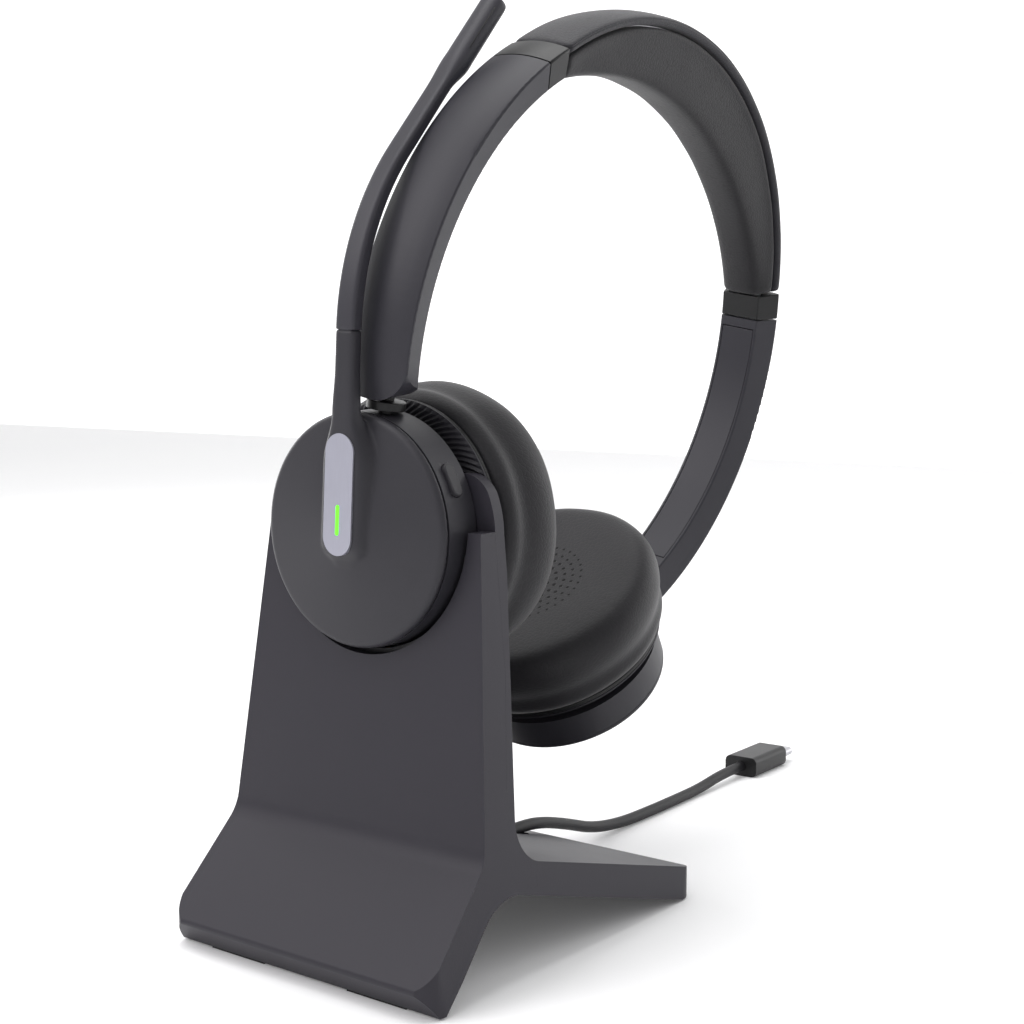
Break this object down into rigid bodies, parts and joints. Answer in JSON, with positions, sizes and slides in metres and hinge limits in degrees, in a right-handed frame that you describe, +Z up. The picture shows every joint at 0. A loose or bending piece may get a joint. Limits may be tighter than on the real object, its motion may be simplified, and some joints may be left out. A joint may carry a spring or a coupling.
{
  "type": "headset",
  "caption": "On-ear office headset with a padded band, swivelling cups and a boom microphone, docked on a folded-plate charging stand with a trailing lead.",
  "frame": {"origin": "bottom centre of the docked headset and stand's box, lead left out, on the surface they stand on", "axes": "+Z up; -Y the stand's front, which the boom's disc faces; +X to the right of someone who faces it"},
  "size_m": [0.0746, 0.2286, 0.2083],
  "materials": {
    "stand_plastic": "finely textured charcoal moulding",
    "arm_plastic": "satin charcoal moulding",
    "cup_plastic": "satin charcoal moulding",
    "boom_plastic": "satin grey moulding",
    "black_plastic": "near-black satin plastic",
    "leatherette": "soft matt leatherette",
    "cushion_cloth": "fine woven cloth",
    "button_rubber": "matt rubber",
    "status_metal": "fine brushed plate",
    "light_lens": "lit green lens",
    "steel": "plain steel",
    "gold_contact": "gold-plated contact",
    "board": "green circuit board",
    "cell_wrap": "battery in its sleeve",
    "speaker_body": "speaker cone and basket",
    "lead_rubber": "smooth black sheath",
    "foot_rubber": "soft grip rubber"
  },
  "bodies": {
    "stand": {"stand_body": "stand_plastic", "back_plate": "stand_plastic", "back_screws": "steel", "rear_foot": "stand_plastic", "front_weight": "steel", "rear_weight": "steel", "front_sole": "foot_rubber", "rear_sole": "foot_rubber", "foot_pads": "foot_rubber", "charge_board": "board", "charge_pins": "gold_contact", "cradle_liner": "button_rubber", "strain_relief": "lead_rubber", "lead": "lead_rubber", "plug_body": "black_plastic", "plug_tip": "steel"},
    "left_cup": {"left_housing": "cup_plastic", "left_baffle": "black_plastic", "left_mesh_ring": "black_plastic", "left_cushion": "leatherette", "left_scrim": "cushion_cloth", "left_speaker": "speaker_body", "left_magnet": "steel", "main_board": "board", "charge_contacts": "gold_contact"},
    "call_button": {"call_button": "button_rubber"},
    "boom": {"boom_disc": "cup_plastic", "boom_axle": "steel", "boom_clip": "steel", "boom_lower_arm": "boom_plastic", "boom_upper_arm": "boom_plastic", "status_plate": "status_metal", "status_light": "light_lens", "mic_capsule": "boom_plastic", "mic_grille": "black_plastic"},
    "left_arm": {"left_swivel_pin": "steel", "left_arm": "arm_plastic", "left_arm_skin": "arm_plastic", "left_slide_rail": "steel"},
    "headband": {"band_cover": "leatherette", "band_spring": "steel", "band_pad": "leatherette", "left_end_cap": "black_plastic", "right_end_cap": "black_plastic"},
    "right_arm": {"right_arm": "arm_plastic", "right_arm_skin": "arm_plastic", "right_slide_rail": "steel", "right_swivel_pin": "steel"},
    "right_cup": {"right_housing": "cup_plastic", "right_cover": "cup_plastic", "right_baffle": "black_plastic", "right_mesh_ring": "black_plastic", "right_cushion": "leatherette", "right_scrim": "cushion_cloth", "right_speaker": "speaker_body", "right_magnet": "steel", "battery": "cell_wrap"}
  },
  "joints": [
    {"name": "headset_lift", "type": "slide", "parent": "stand", "child": "left_cup", "axis": [0, 0, 1], "range_m": [0, 0.09]},
    {"name": "boom_turn", "type": "hinge", "parent": "left_cup", "child": "boom", "pos_m": [0, -0.06736, 0.092], "axis": [0, 1, 0], "range_deg": [-135, 0]},
    {"name": "call_button_press", "type": "slide", "parent": "left_cup", "child": "call_button", "axis": [-0.8926, 0, -0.4509], "range_m": [0, 0.0006], "stiffness_N_per_m": 1500},
    {"name": "left_swivel", "type": "hinge", "parent": "left_cup", "child": "left_arm", "pos_m": [0.00492, -0.06176, 0.11936], "axis": [0.1771, 0, 0.9842], "range_deg": [-25, 0]},
    {"name": "left_slide", "type": "hinge", "parent": "left_arm", "child": "headband", "pos_m": [0.00678, 0.01008, 0.12968], "axis": [-0.9842, 0, 0.1771], "range_deg": [0, 5.5]},
    {"name": "right_slide", "type": "hinge", "parent": "headband", "child": "right_arm", "pos_m": [0.00678, 0.01008, 0.12968], "axis": [-0.9842, 0, 0.1771], "range_deg": [0, 5.5]},
    {"name": "right_swivel", "type": "hinge", "parent": "right_arm", "child": "right_cup", "pos_m": [-0.00475, 0.04225, 0.06562], "axis": [0.1023, 0.8161, 0.5687], "range_deg": [-12, 25]}
  ]
}
